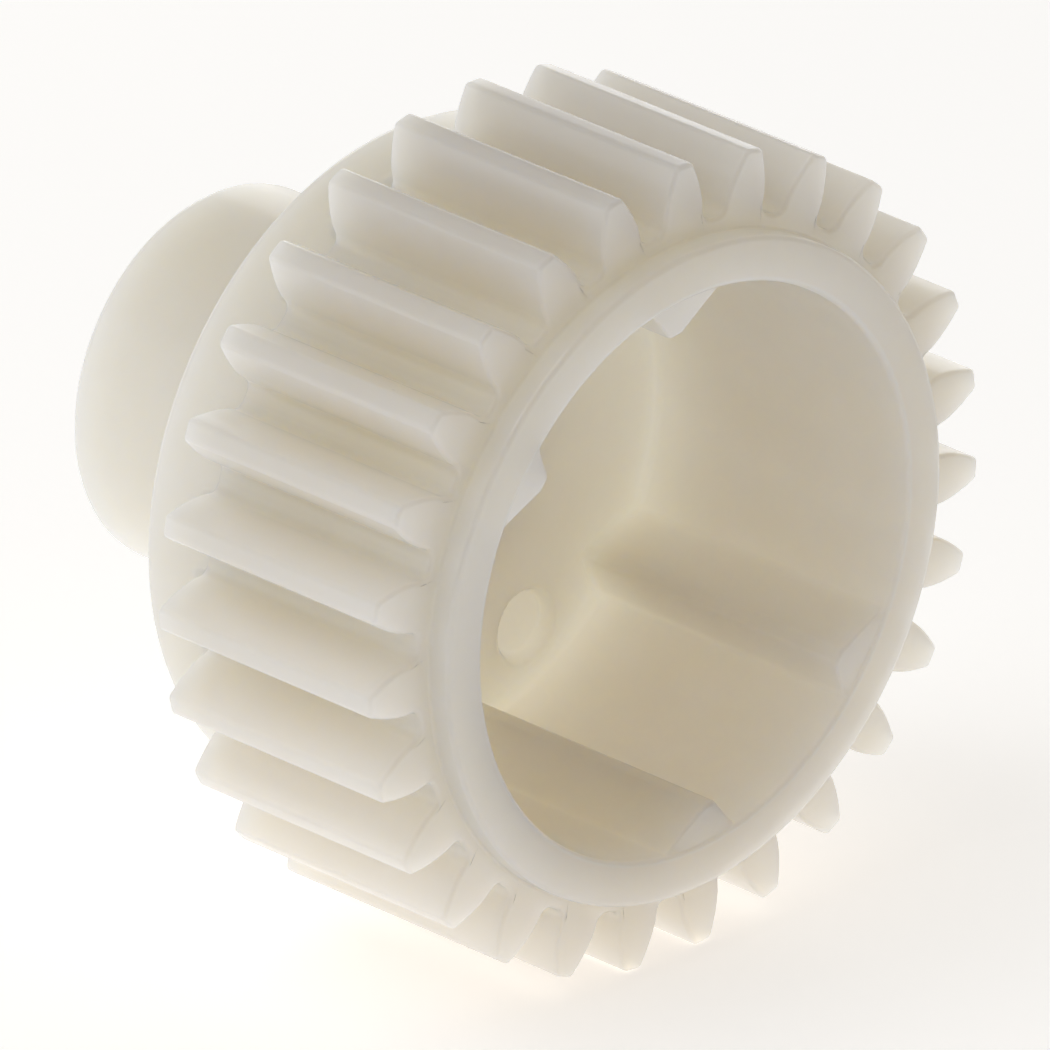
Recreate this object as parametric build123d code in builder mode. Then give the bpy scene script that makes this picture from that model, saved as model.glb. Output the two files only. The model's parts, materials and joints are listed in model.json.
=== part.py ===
"""Moulded plastic spur gear: a toothed cup with a hub behind it and drive ribs inside it.

Millimetres. The gear's axis is +X and +Z is up: the gear lies on two of its teeth, with the mouth
of the cup towards +X. The origin is the centre of the hub's end face, on the axis.
"""
from build123d import *
import os
from math import acos, cos, pi, radians, sin, tan

# Teeth: standard full-depth involute profile
TEETH = 27
MODULE = 1.0
PRESSURE_ANGLE = radians(20)
PITCH_R = MODULE * TEETH / 2
TIP_R = PITCH_R + MODULE
ROOT_R = PITCH_R - 1.25 * MODULE
BASE_R = PITCH_R * cos(PRESSURE_ANGLE)
TIP_ROUNDING = 0.24
ROOT_FILLET = 0.38
FLANK_POINTS = 6
FIRST_TOOTH_ANGLE = -90 + 180 / TEETH  # so that a tooth space points straight down

# Lengths along the axis, from the hub's end to the rim of the cup
HUB_LENGTH = 8.9
WEB_THICKNESS = 2.2
SHOULDER_LENGTH = 1.0  # plain round length of the cup between the web and the teeth
FACE_WIDTH = 10.0
LIP_HEIGHT = 0.9
FLOOR_X = HUB_LENGTH + WEB_THICKNESS
TEETH_REAR_X = FLOOR_X + SHOULDER_LENGTH
TEETH_FRONT_X = TEETH_REAR_X + FACE_WIDTH
LIP_X = TEETH_FRONT_X + LIP_HEIGHT

# Radii
BORE_R = 4.0
HUB_R = 6.7
WEB_R = 12.05
CUP_R = 10.15
LIP_R = 11.75

# Edges
HUB_END_ROUNDING = 0.35
HUB_FILLET = 0.8
WEB_EDGE_ROUNDING = 0.45
LIP_OUTER_ROUNDING = 0.2
LIP_INNER_ROUNDING = 0.15
BORE_CHAMFER = 0.3

# Drive ribs: two opposite pairs, each pair with a slot between its steep flanks.
# The flank angles are degrees from the pair's centre line.
RIB_PAIR_ANGLES = (-60, 120)
RIB_R = 8.9
RIB_SLOT_FOOT = 17.5
RIB_SLOT_TOP = 21.5
RIB_OUTER_TOP = 25.0
RIB_OUTER_FOOT = 35.5
RIB_ROUNDING = 0.3

# Moulding gates: a shallow round well on the cup's floor in line with each slot
GATE_CENTRE_R = 8.2
GATE_R = 1.3
GATE_DEPTH = 0.45


def polar(radius, angle):
    """The point at a radius and an angle in radians."""
    return radius * cos(angle), radius * sin(angle)


def half_tooth_angle(radius):
    """Half of a tooth's angular width at a radius on its involute flanks, in radians."""
    def involute(angle):
        return tan(angle) - angle

    flank_angle = acos(min(1.0, BASE_R / radius))
    return pi / (2 * TEETH) + involute(PRESSURE_ANGLE) - involute(flank_angle)


def flank(side):
    """Points of one flank from the base circle to the tip; side is -1 or 1."""
    step = (TIP_R - BASE_R) / (FLANK_POINTS - 1)
    radii = [BASE_R + step * i for i in range(FLANK_POINTS)]
    return [polar(r, side * half_tooth_angle(r)) for r in radii]


def farthest(vertices, count):
    """The vertices that lie farthest from the axis."""
    return vertices.sort_by(lambda v: Vector(*v).length)[-count:]


# Toothed rim: the ring that carries the teeth
with BuildSketch() as tooth:
    with BuildLine():
        lower, upper = flank(-1), flank(1)
        lower_foot = polar(LIP_R, -half_tooth_angle(BASE_R))
        upper_foot = polar(LIP_R, half_tooth_angle(BASE_R))
        Line(lower_foot, lower[0])
        Spline(*lower)
        ThreePointArc(lower[-1], (TIP_R, 0), upper[-1])
        Spline(*upper[::-1])
        Line(upper[0], upper_foot)
        Line(upper_foot, lower_foot)
    make_face()
    fillet(farthest(tooth.vertices(), 2), TIP_ROUNDING)

with BuildSketch() as teeth_outline:
    Circle(ROOT_R)
    with PolarLocations(0, TEETH, start_angle=FIRST_TOOTH_ANGLE):
        add(tooth.sketch)
    roots = [v for v in teeth_outline.vertices() if abs(Vector(*v).length - ROOT_R) < 0.01]
    fillet(roots, ROOT_FILLET)
    Circle(LIP_R, mode=Mode.SUBTRACT)

with BuildPart() as toothed_rim:
    with BuildSketch(Plane.YZ.offset(TEETH_REAR_X)):
        add(teeth_outline.sketch)
    extrude(amount=FACE_WIDTH)
toothed_rim.part.label = "toothed_rim"

# Cup wall: the round wall inside the teeth. Its front end stands proud of them as a lip, and
# behind them it widens to a plain shoulder
with BuildPart() as cup_wall:
    with BuildSketch(Plane.YZ.offset(FLOOR_X)):
        Circle(WEB_R)
    extrude(amount=SHOULDER_LENGTH)
    with BuildSketch(Plane.YZ.offset(TEETH_REAR_X)):
        Circle(LIP_R)
    extrude(amount=LIP_X - TEETH_REAR_X)
    with BuildSketch(Plane.YZ.offset(FLOOR_X)):
        Circle(CUP_R)
    extrude(amount=LIP_X - FLOOR_X, mode=Mode.SUBTRACT)
    rim_edges = cup_wall.faces().sort_by(Axis.X)[-1].edges().sort_by(SortBy.LENGTH)
    fillet(rim_edges[-1], LIP_OUTER_ROUNDING)
    fillet(rim_edges[0], LIP_INNER_ROUNDING)
cup_wall.part.label = "cup_wall"

# Rear web: the cup's floor, with the two gate wells
with BuildPart() as rear_web:
    with BuildSketch(Plane.YZ.offset(HUB_LENGTH)):
        Circle(WEB_R)
    extrude(amount=WEB_THICKNESS)
    fillet(rear_web.faces().sort_by(Axis.X)[0].edges(), WEB_EDGE_ROUNDING)
    with BuildSketch(Plane.YZ.offset(FLOOR_X)):
        with Locations(*[polar(GATE_CENTRE_R, radians(a)) for a in RIB_PAIR_ANGLES]):
            Circle(GATE_R)
    extrude(amount=-GATE_DEPTH, mode=Mode.SUBTRACT)
    with BuildSketch(Plane.YZ.offset(HUB_LENGTH)):
        Circle(BORE_R)
    extrude(amount=WEB_THICKNESS, mode=Mode.SUBTRACT)
    bore_mouth = rear_web.faces().sort_by(Axis.X)[-1].edges().filter_by(
        lambda e: abs(e.radius - BORE_R) < 0.01)
    chamfer(bore_mouth, BORE_CHAMFER)
rear_web.part.label = "rear_web"

# Hub: the round boss behind the web, with the shaft bore
with BuildPart() as hub:
    with BuildSketch(Plane.XZ):
        with BuildLine():
            Polyline((HUB_LENGTH, HUB_R), (HUB_LENGTH, BORE_R), (0, BORE_R), (0, HUB_R - HUB_END_ROUNDING))
            RadiusArc((0, HUB_R - HUB_END_ROUNDING), (HUB_END_ROUNDING, HUB_R), HUB_END_ROUNDING)
            Line((HUB_END_ROUNDING, HUB_R), (HUB_LENGTH - HUB_FILLET, HUB_R))
            RadiusArc((HUB_LENGTH - HUB_FILLET, HUB_R), (HUB_LENGTH, HUB_R + HUB_FILLET), -HUB_FILLET)
            Line((HUB_LENGTH, HUB_R + HUB_FILLET), (HUB_LENGTH, HUB_R))
        make_face()
    revolve(axis=Axis.X)
hub.part.label = "hub"

# Drive ribs: they run the whole depth of the cup and grip the two lugs of a coupling
with BuildSketch() as rib_pair:
    for side in (-1, 1):
        with BuildLine():
            slot_side = ((CUP_R, RIB_SLOT_FOOT), (RIB_R, RIB_SLOT_TOP))
            outer_side = ((RIB_R, RIB_OUTER_TOP), (CUP_R, RIB_OUTER_FOOT))
            points = [polar(r, side * radians(a)) for r, a in slot_side + outer_side]
            Polyline(*points)
            middle = polar(CUP_R, side * radians((RIB_SLOT_FOOT + RIB_OUTER_FOOT) / 2))
            ThreePointArc(points[-1], middle, points[0])
        make_face()
    tops = [v for v in rib_pair.vertices() if abs(Vector(*v).length - RIB_R) < 0.01]
    fillet(tops, RIB_ROUNDING)

with BuildPart() as drive_ribs:
    with BuildSketch(Plane.YZ.offset(FLOOR_X)):
        with PolarLocations(0, 2, start_angle=RIB_PAIR_ANGLES[0]):
            add(rib_pair.sketch)
    extrude(amount=LIP_X - LIP_INNER_ROUNDING - FLOOR_X)
drive_ribs.part.label = "drive_ribs"

os.makedirs("parts", exist_ok=True)
for piece in (toothed_rim, cup_wall, rear_web, hub, drive_ribs):
    export_step(piece.part, f"parts/{piece.part.label}.step")
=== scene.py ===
import bpy
import json
import numpy as np
from mathutils import Matrix, Vector


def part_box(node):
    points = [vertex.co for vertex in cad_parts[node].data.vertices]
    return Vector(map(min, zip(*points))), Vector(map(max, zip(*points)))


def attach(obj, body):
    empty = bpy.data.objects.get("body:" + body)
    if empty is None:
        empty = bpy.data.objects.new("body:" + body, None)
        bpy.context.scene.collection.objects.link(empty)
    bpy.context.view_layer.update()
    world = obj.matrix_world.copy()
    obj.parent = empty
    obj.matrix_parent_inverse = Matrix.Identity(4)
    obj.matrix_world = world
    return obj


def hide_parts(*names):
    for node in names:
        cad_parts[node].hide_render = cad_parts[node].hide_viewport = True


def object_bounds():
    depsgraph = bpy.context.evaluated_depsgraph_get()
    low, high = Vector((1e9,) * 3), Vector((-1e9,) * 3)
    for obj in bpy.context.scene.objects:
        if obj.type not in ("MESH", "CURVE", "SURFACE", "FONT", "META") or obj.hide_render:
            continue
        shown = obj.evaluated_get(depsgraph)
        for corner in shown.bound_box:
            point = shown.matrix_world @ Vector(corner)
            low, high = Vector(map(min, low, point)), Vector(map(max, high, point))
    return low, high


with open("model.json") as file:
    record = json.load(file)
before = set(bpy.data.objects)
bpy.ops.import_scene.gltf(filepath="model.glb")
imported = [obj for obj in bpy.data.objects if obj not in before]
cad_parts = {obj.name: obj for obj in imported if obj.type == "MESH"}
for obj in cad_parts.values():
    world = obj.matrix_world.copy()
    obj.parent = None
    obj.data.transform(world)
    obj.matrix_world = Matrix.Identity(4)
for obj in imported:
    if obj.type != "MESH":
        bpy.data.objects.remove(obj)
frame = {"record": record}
cad_lo, cad_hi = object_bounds()
scene = bpy.context.scene
MM = 0.001

# ---------------------------------------------------------------- sizes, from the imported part, in mm
rim_lo, rim_hi = (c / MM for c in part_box("toothed_rim"))
wall_lo, wall_hi = (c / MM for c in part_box("cup_wall"))
web_lo, web_hi = (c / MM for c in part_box("rear_web"))
rib_lo, rib_hi = (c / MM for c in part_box("drive_ribs"))
mounts = {m["name"]: m for m in frame["record"]["mounts"]}
WEB_X, FLOOR_X = web_lo.x, web_hi.x          # the web's two faces
TEETH_REAR_X, TEETH_X, LIP_X, RIB_X = rim_lo.x, rim_hi.x, wall_hi.x, rib_hi.x
BORE_R = mounts["shaft_bore"]["dims"]["r_mm"]
HUB_R = mounts["hub_journal"]["dims"]["r_mm"]
WEB_R, CUP_R = web_hi.z, rib_hi.z
LIP_R = 2 * mounts["lip_face"]["pos_m"][1] / MM - CUP_R     # that mount is in the middle of the lip

# The teeth: 1 mm module, 20 degree involute, as in the part
TEETH = 27
PRESSURE = np.radians(20)
PITCH_R = TEETH / 2
TIP_R, ROOT_R, BASE_R = PITCH_R + 1, PITCH_R - 1.25, PITCH_R * np.cos(PRESSURE)
TIP_ROUND, ROOT_ROUND = 0.24, 0.38
FIRST_TOOTH = np.radians(-90 + 180 / TEETH)
# The ribs' outline, as (radius, degrees from their pair's centre line)
RIB_PAIRS = (-60, 120)
RIB_R = 8.9
RIB_CORNERS = ((CUP_R, 17.5), (RIB_R, 21.5), (RIB_R, 25.0), (CUP_R, 35.5))
# The gate wells in the cup's floor, with a sloping side
GATE_AT, GATE_R, GATE_DEPTH, GATE_SLOPE = 8.2, 1.3, 0.45, 0.3
# Moulded roundings
FRONT_ROUND, REAR_ROUND, FOOT_ROUND, WELL_ROUND = 0.17, 0.12, 0.12, 0.4
LIP_OUT_ROUND, LIP_IN_ROUND, WEB_ROUND, HUB_FLARE, HUB_ROUND = 0.2, 0.15, 0.45, 0.8, 0.35
BORE_ROUND, BORE_BEVEL = 0.15, 0.3           # at the hub's end, and at the cup's floor
# Loops across the cup's floor: a few near the bore, then close together where the wells are
PLAIN_LOOPS = (BORE_R + BORE_BEVEL, 4.8, 5.6, 6.4)
WELL_LOOPS = np.arange(6.7, 8.55, 0.1)
BLEND_LOOPS = 8                              # from those circles to the ribs' outline
WALL_STEP = 0.03                             # between loops on the wall beside the ribs' rounded ends


# ---------------------------------------------------------------- the teeth's outline
def involute(angle):
    return np.tan(angle) - angle


def half_angle(radius):
    """Half of a tooth's angular width at a radius; below the base circle the flank is radial."""
    flank = np.arccos(np.minimum(1.0, BASE_R / radius))
    return np.pi / (2 * TEETH) + involute(PRESSURE) - involute(flank)


def polar(radius, angle):
    return np.stack([radius * np.cos(angle), radius * np.sin(angle)], -1)


def corner_arc(centre_r, rounding, low, high, steps, inward):
    """An arc of that radius that touches a tip or root circle and the flank, as points."""
    radii = np.linspace(ROOT_R - 0.2, TIP_R, 600)
    flank = polar(radii, half_angle(radii))
    for _ in range(40):
        middle = (low + high) / 2
        centre = polar(centre_r, middle)
        distance = np.linalg.norm(flank - centre, axis=1).min()
        if (distance > rounding) == inward:
            low = middle
        else:
            high = middle
    nearest = flank[np.linalg.norm(flank - centre, axis=1).argmin()]
    away = centre / centre_r * (1 if inward else -1)
    start = np.arctan2(away[1], away[0])
    end = np.arctan2(*(nearest - centre)[::-1])
    turn = (end - start + np.pi) % (2 * np.pi) - np.pi
    angles = start + turn * np.linspace(0, 1, steps + 1)
    return centre + rounding * np.stack([np.cos(angles), np.sin(angles)], 1)


def half_tooth():
    """Points from the middle of a tooth's tip to the middle of the space beside it."""
    tip = corner_arc(TIP_R - TIP_ROUND, TIP_ROUND, 0, half_angle(TIP_R), 4, True)
    root = corner_arc(ROOT_R + ROOT_ROUND, ROOT_ROUND, half_angle(BASE_R), np.pi / TEETH, 5, False)[::-1]
    low, high = np.linalg.norm(root[0]), np.linalg.norm(tip[-1])
    radii = np.linspace(high, low, 6)[1:-1]
    land = polar(TIP_R, np.linspace(0, np.arctan2(*tip[0][::-1]), 3)[:-1])
    floor = polar(ROOT_R, np.linspace(np.arctan2(*root[-1][::-1]), np.pi / TEETH, 3)[1:])
    return np.concatenate([land, tip, polar(radii, half_angle(radii)), root, floor])


half = half_tooth()
mirrored = half[1:-1][::-1] * (1, -1)
one = np.concatenate([mirrored, half])
COUNT = TEETH * len(one)                     # points in every loop
EVEN = FIRST_TOOTH - np.pi / TEETH + 2 * np.pi * (np.arange(COUNT) + 1) / COUNT


def turned(points, angle):
    c, s = np.cos(angle), np.sin(angle)
    return points @ np.array([[c, s], [-s, c]])


outline = np.concatenate([turned(one, FIRST_TOOTH + 2 * np.pi * k / TEETH) for k in range(TEETH)])


def normals_of(points):
    """Unit normals of a closed outline that runs anticlockwise, pointing away from its inside."""
    along = np.roll(points, -1, 0) - np.roll(points, 1, 0)
    along /= np.linalg.norm(along, axis=1)[:, None]
    return np.stack([along[:, 1], -along[:, 0]], 1)


outline_normals = normals_of(outline)


# ---------------------------------------------------------------- the cup's inner outline, with its ribs
def chord(angle, a, b):
    """Along a ray, the radius of the straight line between two (radius, degrees) corners."""
    p, q = polar(a[0], np.radians(a[1])), polar(b[0], np.radians(b[1]))
    ray = polar(1.0, angle)
    return (p[0] * q[1] - p[1] * q[0]) / (ray[..., 0] * (q - p)[1] - ray[..., 1] * (q - p)[0])


inner_r = np.full(COUNT, CUP_R)
for pair in RIB_PAIRS:
    off = np.abs((EVEN - np.radians(pair) + np.pi) % (2 * np.pi) - np.pi)
    for a, b in zip(RIB_CORNERS, RIB_CORNERS[1:]):
        inside = (off >= np.radians(a[1])) & (off < np.radians(b[1]))
        inner_r[inside] = chord(off[inside], a, b) if a[0] != b[0] else a[0]
spread = np.array([1, 2, 3, 2, 1]) / 9      # softens the ribs' corners
inner_r = np.convolve(np.concatenate([inner_r[-2:], inner_r, inner_r[:2]]), spread, "valid")
inner = polar(inner_r, EVEN)
inner_normals = normals_of(inner)
on_rib = np.clip((CUP_R - inner_r) / (CUP_R - RIB_R), 0, 1)


# ---------------------------------------------------------------- loops round the axis
# They run from the bore's mouth in the cup, over the lip and the teeth, to the hub and the bore again
loops, strips = [], []


def add_loop(x, yz, region):
    """One loop of points; region names the surface between it and the next loop."""
    loops.append(np.column_stack([np.broadcast_to(x, COUNT), yz]))
    strips.append(region)


def ring(x, radius, region):
    add_loop(x, polar(np.full(COUNT, radius), EVEN), region)


def quarter(steps):
    """(sine, cosine) pairs over a quarter turn."""
    angles = np.linspace(0, np.pi / 2, steps + 1)
    return zip(np.sin(angles), np.cos(angles))


gates = [polar(GATE_AT, np.radians(a)) for a in RIB_PAIRS]
ring(FLOOR_X - BORE_BEVEL, BORE_R, "rear_web")
floor_edge = polar(inner_r - WELL_ROUND, EVEN)
circles = [polar(np.full(COUNT, r), EVEN) for r in (*PLAIN_LOOPS, *WELL_LOOPS)]
shares = np.linspace(0, 1, BLEND_LOOPS + 2)[1:-1]
blends = [circles[-1] + (floor_edge - circles[-1]) * share for share in shares]
for yz in circles + blends:
    depth = np.zeros(COUNT)
    for gate in gates:
        share = np.clip((GATE_R + GATE_SLOPE / 3 - np.linalg.norm(yz - gate, axis=1)) / GATE_SLOPE, 0, 1)
        depth += GATE_DEPTH * share * share * (3 - 2 * share)
    add_loop(FLOOR_X - depth, yz, "rear_web")
for s, c in quarter(4):
    add_loop(FLOOR_X + WELL_ROUND * (1 - c), polar(inner_r - WELL_ROUND * (1 - s), EVEN), "cup_wall")
add_loop((FLOOR_X + RIB_X) / 2, inner, "cup_wall")
for i, (s, c) in enumerate(quarter(3)):
    plain_x = RIB_X - LIP_IN_ROUND + WALL_STEP * i
    rib_x = RIB_X - LIP_IN_ROUND * (1 - s)
    moved = inner + inner_normals * (LIP_IN_ROUND * (1 - c) * on_rib)[:, None]
    add_loop(plain_x + (rib_x - plain_x) * on_rib, moved, "cup_wall")
for s, c in quarter(3):
    ring(LIP_X - LIP_IN_ROUND * (1 - s), CUP_R + LIP_IN_ROUND * (1 - c), "cup_wall")
for s, c in quarter(4):
    ring(LIP_X - LIP_OUT_ROUND * (1 - c), LIP_R - LIP_OUT_ROUND * (1 - s), "cup_wall")
for s, c in quarter(3):
    ring(TEETH_X + FOOT_ROUND * (1 - s), LIP_R + FOOT_ROUND * (1 - c), "cup_wall")
strips[-1] = "toothed_rim"
for s, c in quarter(4):
    inset = outline - outline_normals * FRONT_ROUND * (1 - s)
    add_loop(TEETH_X - FRONT_ROUND * (1 - c), inset, "toothed_rim")
for share in (0.33, 0.67):
    add_loop(TEETH_X + (TEETH_REAR_X - TEETH_X) * share, outline, "toothed_rim")
for s, c in quarter(3):
    inset = outline - outline_normals * REAR_ROUND * (1 - c)
    add_loop(TEETH_REAR_X + REAR_ROUND * (1 - s), inset, "toothed_rim")
ring(TEETH_REAR_X, WEB_R, "cup_wall")
ring(FLOOR_X, WEB_R, "rear_web")
for s, c in quarter(5):
    ring(WEB_X + WEB_ROUND * (1 - s), WEB_R - WEB_ROUND * (1 - c), "rear_web")
for s, c in quarter(5):
    ring(WEB_X - HUB_FLARE * (1 - c), HUB_R + HUB_FLARE * (1 - s), "hub")
for s, c in quarter(4):
    ring(HUB_ROUND * (1 - s), HUB_R - HUB_ROUND * (1 - c), "hub")
for s, c in quarter(2):
    ring(BORE_ROUND * (1 - c), BORE_R + BORE_ROUND * (1 - s), "hub")

points = np.concatenate(loops)
steps = np.arange(COUNT)
faces = np.concatenate([
    np.column_stack([a * COUNT + steps, a * COUNT + (steps + 1) % COUNT,
                     b * COUNT + (steps + 1) % COUNT, b * COUNT + steps])
    for a, b in zip(range(len(loops)), [*range(1, len(loops)), 0])])
diagonal = points[faces[:, 2]] - points[faces[:, 0]], points[faces[:, 3]] - points[faces[:, 1]]
areas = np.cross(*diagonal) / 2
volume = (points[faces].mean(1) * areas).sum() / 3
if volume < 0:
    faces, areas = faces[:, ::-1], -areas

# Each face goes to a region. The ribs are where the cup's wall comes inside its plain radius
REGIONS = ("toothed_rim", "cup_wall", "rear_web", "hub", "drive_ribs")
RIB_SHARE, RIB_CLEAR = 0.03, 0.02
region_of = np.repeat([REGIONS.index(r) for r in strips], COUNT)
rib_faces = np.tile(on_rib > RIB_SHARE, len(loops)) & (region_of == REGIONS.index("cup_wall"))
rib_faces &= np.linalg.norm(points[:, 1:], axis=1) < CUP_R - RIB_CLEAR
region_of[rib_faces] = REGIONS.index("drive_ribs")

mesh = bpy.data.meshes.new("moulding")
mesh.from_pydata(points * MM, [], faces.tolist())
vertex_normals = np.zeros_like(points)
for corner in range(4):
    np.add.at(vertex_normals, faces[:, corner], areas)
vertex_normals /= np.linalg.norm(vertex_normals, axis=1)[:, None]
mesh.polygons.foreach_set("use_smooth", np.ones(len(faces), bool))
mesh.polygons.foreach_set("material_index", region_of.astype(np.int32))
mesh.normals_split_custom_set_from_vertices(vertex_normals)
moulding = bpy.data.objects.new("moulding", mesh)
scene.collection.objects.link(moulding)
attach(moulding, "root")
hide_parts(*REGIONS)


# ---------------------------------------------------------------- node helpers
class Nodes:
    """A small wrapper that adds nodes to a material and links them."""

    def __init__(self, name):
        self.material = bpy.data.materials.new(name)
        self.material.use_nodes = True
        self.tree = self.material.node_tree
        self.tree.nodes.clear()
        self.output = self.add("ShaderNodeOutputMaterial")
        self.shader = self.add("ShaderNodeBsdfPrincipled")
        self.link(self.shader.outputs["BSDF"], self.output.inputs["Surface"])
        self.coordinates = self.add("ShaderNodeTexCoord").outputs["Object"]

    def add(self, kind, **settings):
        node = self.tree.nodes.new(kind)
        for key, value in settings.items():
            setattr(node, key, value)
        return node

    def link(self, source, target):
        self.tree.links.new(source, target)

    def feed(self, socket, value):
        """Sets a socket's value, or links it if the value is an output."""
        if isinstance(value, bpy.types.NodeSocket):
            self.link(value, socket)
        else:
            socket.default_value = value

    def math(self, operation, *values):
        node = self.add("ShaderNodeMath", operation=operation)
        for socket, value in zip(node.inputs, values):
            self.feed(socket, value)
        return node.outputs[0]

    def noise(self, per_metre, detail, roughness):
        node = self.add("ShaderNodeTexNoise")
        self.link(self.coordinates, node.inputs["Vector"])
        node.inputs["Scale"].default_value = per_metre
        node.inputs["Detail"].default_value = detail
        node.inputs["Roughness"].default_value = roughness
        return node.outputs[0]

    def ramp(self, value, low, high, to_low=0.0, to_high=1.0):
        node = self.add("ShaderNodeMapRange", interpolation_type="SMOOTHSTEP")
        self.feed(node.inputs["Value"], value)
        node.inputs["From Min"].default_value = low
        node.inputs["From Max"].default_value = high
        node.inputs["To Min"].default_value = to_low
        node.inputs["To Max"].default_value = to_high
        return node.outputs["Result"]

    def mix(self, factor, a, b):
        node = self.add("ShaderNodeMix", data_type="RGBA")
        self.feed(node.inputs[0], factor)
        self.feed(node.inputs[6], a)
        self.feed(node.inputs[7], b)
        return node.outputs[2]

    def multiply(self, a, b):
        node = self.add("ShaderNodeMix", data_type="RGBA", blend_type="MULTIPLY")
        node.inputs[0].default_value = 1.0
        self.feed(node.inputs[6], a)
        self.feed(node.inputs[7], b)
        return node.outputs[2]

    def bump(self, height, strength, distance, normal=None):
        node = self.add("ShaderNodeBump")
        self.link(height, node.inputs["Height"])
        node.inputs["Strength"].default_value = strength
        node.inputs["Distance"].default_value = distance
        if normal is not None:
            self.link(normal, node.inputs["Normal"])
        return node.outputs["Normal"]


# ---------------------------------------------------------------- the moulded plastic
IVORY = (0.880, 0.835, 0.755, 1.0)
IVORY_PALE = (0.900, 0.864, 0.800, 1.0)
IVORY_WARM = (0.865, 0.808, 0.712, 1.0)
SPECK = (0.10, 0.075, 0.055, 1.0)
OUTSIDE_PAINTED_SHADE = (1.0, 0.955, 0.905, 1.0)      # painted shade: the outside is painted a little warmer and darker than inside the cup, which is left paler
# Noise scales are per metre
CLOUD_SCALE, MOTTLE_SCALE, PEEL_SCALE, GRAIN_SCALE, SPECK_SCALE = 120, 900, 600, 9000, 160
ROUGHNESS = dict(zip(REGIONS, (0.34, 0.35, 0.36, 0.34, 0.35)))
SCATTER = 14.0 * MM


def moulded(name, roughness):
    n = Nodes(name)
    cloud = n.noise(CLOUD_SCALE, 3, 0.55)
    mottle = n.noise(MOTTLE_SCALE, 4, 0.6)
    grain = n.noise(GRAIN_SCALE, 2, 0.6)
    colour = n.mix(n.ramp(cloud, 0.35, 0.65), IVORY_WARM, IVORY_PALE)
    colour = n.mix(n.ramp(mottle, 0.3, 0.7, 0.2, 0.6), colour, IVORY)

    speck_cells = n.add("ShaderNodeTexVoronoi")
    n.link(n.coordinates, speck_cells.inputs["Vector"])
    speck_cells.inputs["Scale"].default_value = SPECK_SCALE
    speck = n.ramp(speck_cells.outputs["Distance"], 0.012, 0.022, 1.0, 0.0)
    colour = n.mix(n.math("MULTIPLY", speck, 0.75), colour, SPECK)

    axes = n.add("ShaderNodeSeparateXYZ")
    n.link(n.coordinates, axes.inputs[0])
    x, y, z = (axes.outputs[axis] for axis in "XYZ")
    radius = n.math("SQRT", n.math("MULTIPLY_ADD", y, y, n.math("MULTIPLY", z, z)))
    # Painted shade: outside the cup the colour is multiplied by the warmer, darker tint, and inside the
    # cup it stays paler
    in_cup = n.ramp(radius, (CUP_R + 0.1) * MM, (CUP_R + 0.25) * MM, 1.0, 0.0)
    in_cup = n.math("MULTIPLY", in_cup, n.ramp(x, (FLOOR_X - 1.2) * MM, (FLOOR_X - 0.7) * MM))
    colour = n.multiply(colour, n.mix(in_cup, OUTSIDE_PAINTED_SHADE, (1, 1, 1, 1)))
    n.link(colour, n.shader.inputs["Base Color"])

    rough = n.math("ADD", n.ramp(mottle, 0.3, 0.7, -0.03, 0.03), roughness)
    rough = n.math("ADD", rough, n.ramp(cloud, 0.3, 0.7, -0.02, 0.02))
    n.link(rough, n.shader.inputs["Roughness"])

    skin = n.bump(grain, 0.10, 0.00001)
    peel = n.bump(n.noise(PEEL_SCALE, 2, 0.5), 0.10, 0.00004, skin)
    n.link(peel, n.shader.inputs["Normal"])

    n.shader.inputs["IOR"].default_value = 1.48
    n.shader.inputs["Specular IOR Level"].default_value = 0.5
    n.shader.inputs["Coat Weight"].default_value = 0.5
    n.shader.inputs["Coat Roughness"].default_value = 0.12
    n.shader.subsurface_method = "RANDOM_WALK"
    n.shader.inputs["Subsurface Weight"].default_value = 1.0
    n.shader.inputs["Subsurface Radius"].default_value = (1.0, 0.85, 0.6)
    n.shader.inputs["Subsurface Scale"].default_value = SCATTER
    return n.material


for region in REGIONS:
    mesh.materials.append(moulded(region, ROUGHNESS[region]))

# ---------------------------------------------------------------- floor
FLOOR_SIZE = 3.0
PAPER, PAPER_PALE, PAPER_GLOW = (0.90, 0.90, 0.895, 1), (0.93, 0.93, 0.925, 1), 0.48
floor_mesh = bpy.data.meshes.new("floor")
corners = [(x * FLOOR_SIZE, y * FLOOR_SIZE, cad_lo.z) for x, y in ((-1, -1), (1, -1), (1, 1), (-1, 1))]
floor_mesh.from_pydata(corners, [], [(0, 1, 2, 3)])
floor = bpy.data.objects.new("floor", floor_mesh)
scene.collection.objects.link(floor)
paper = Nodes("floor_paper")
paper_colour = paper.mix(paper.ramp(paper.noise(14, 3, 0.5), 0.3, 0.7), PAPER, PAPER_PALE)
paper.link(paper_colour, paper.shader.inputs["Base Color"])
paper.shader.inputs["Roughness"].default_value = 0.9
paper.shader.inputs["Emission Color"].default_value = (1, 1, 1, 1)
paper.shader.inputs["Emission Strength"].default_value = PAPER_GLOW
floor_mesh.materials.append(paper.material)

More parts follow.
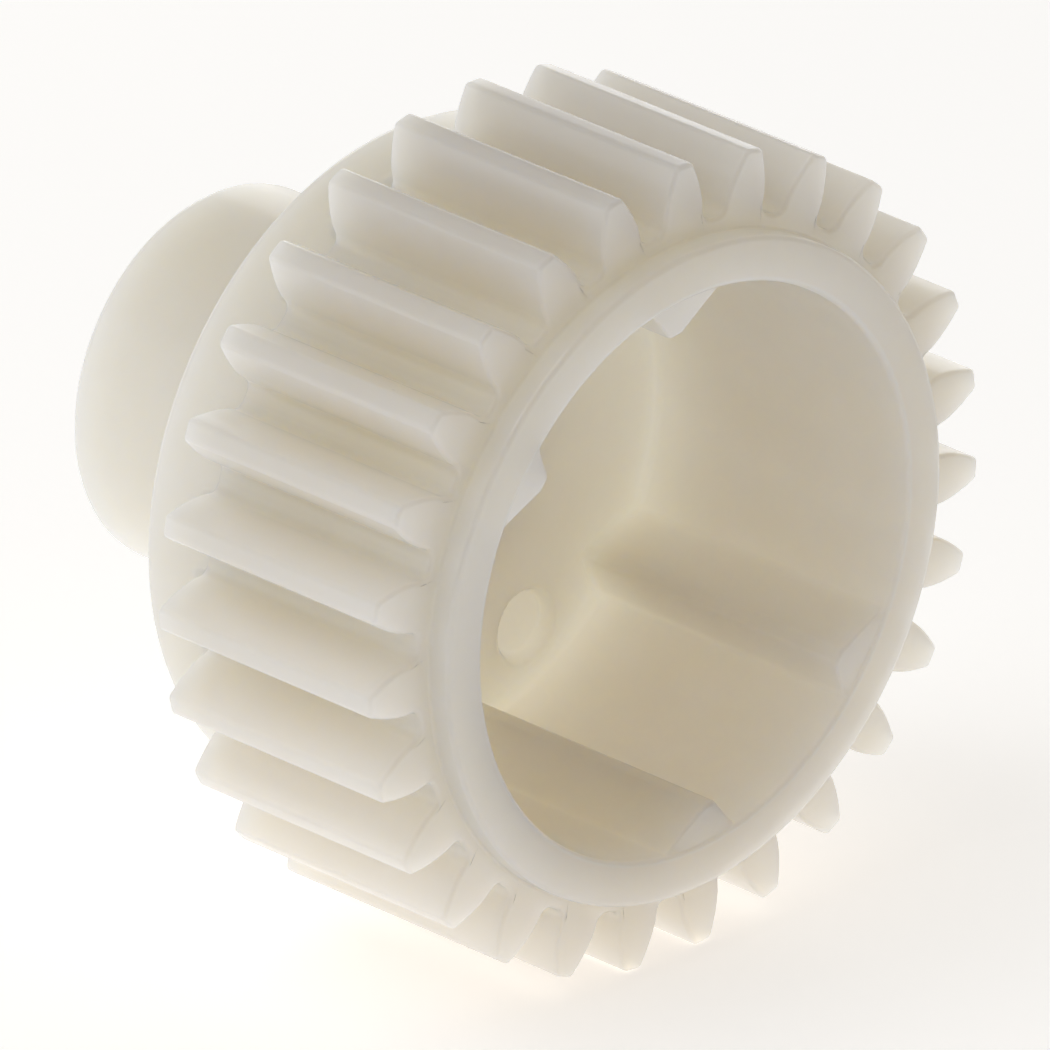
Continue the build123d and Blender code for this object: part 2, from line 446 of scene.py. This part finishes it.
# ---------------------------------------------------------------- camera, as the photograph was taken
RIGHT = Vector((0.710, 0.704, 0.018)).normalized()
BACK = Vector((0.638, -0.6545, 0.406))
BACK = (BACK - BACK.dot(RIGHT) * RIGHT).normalized()
UP = BACK.cross(RIGHT)
DISTANCE, LENS, SENSOR = 1.0, 1027.5, 36
AIM_RIGHT, AIM_UP = -5.09 * MM, 1.33 * MM    # from the centre of the teeth's front face
camera_data = bpy.data.cameras.new("camera")
camera = bpy.data.objects.new("camera", camera_data)
scene.collection.objects.link(camera)
scene.camera = camera
camera_data.lens = LENS
camera_data.sensor_width = SENSOR
camera_data.clip_start, camera_data.clip_end = 0.01, 50
place = Vector((TEETH_X * MM, 0, 0)) + AIM_RIGHT * RIGHT + AIM_UP * UP + DISTANCE * BACK
camera.matrix_world = Matrix.Translation(place) @ Matrix((RIGHT, UP, BACK)).transposed().to_4x4()

# ---------------------------------------------------------------- light
# The room is bright all round except in front of the gear's open end, where it is dimmer and warmer
ROOM_BRIGHT = (0.44, 0.44, 0.435, 1)
ROOM_DIM = (0.250, 0.216, 0.176, 1)
ROOM_FROM, ROOM_TO = -0.3, 0.5


def area_light(name, direction, distance, size, power):
    """A square lamp in a direction given as (right, up, back) of the camera, aimed at the gear."""
    data = bpy.data.lights.new(name, "AREA")
    data.size, data.energy = size, power
    lamp = bpy.data.objects.new(name, data)
    scene.collection.objects.link(lamp)
    centre = (cad_lo + cad_hi) / 2
    towards = (direction[0] * RIGHT + direction[1] * UP + direction[2] * BACK).normalized()
    lamp.location = centre + distance * towards
    lamp.rotation_mode = "QUATERNION"
    lamp.rotation_quaternion = (-towards).to_track_quat("-Z", "Y")


area_light("left_box", (-0.93, 0.10, 0.25), 0.45, 0.30, 0.15)
area_light("top_box", (-0.40, 0.70, 0.50), 0.5, 0.3, 0.42)
area_light("back_box", (0.20, 0.40, -0.90), 0.5, 0.5, 0.7)

world = bpy.data.worlds.new("studio")
scene.world = world
world.use_nodes = True
tree = world.node_tree
towards_front = tree.nodes.new("ShaderNodeSeparateXYZ")
tree.links.new(tree.nodes.new("ShaderNodeTexCoord").outputs["Generated"], towards_front.inputs[0])
fall = tree.nodes.new("ShaderNodeMapRange")
fall.interpolation_type = "SMOOTHSTEP"
tree.links.new(towards_front.outputs["X"], fall.inputs["Value"])
fall.inputs["From Min"].default_value, fall.inputs["From Max"].default_value = ROOM_FROM, ROOM_TO
room = tree.nodes.new("ShaderNodeMix")
room.data_type = "RGBA"
tree.links.new(fall.outputs["Result"], room.inputs[0])
room.inputs[6].default_value = ROOM_BRIGHT
room.inputs[7].default_value = ROOM_DIM
tree.links.new(room.outputs[2], tree.nodes["Background"].inputs["Color"])
tree.nodes["Background"].inputs["Strength"].default_value = 1.0
scene.view_settings.view_transform = "Standard"
scene.view_settings.look = "None"
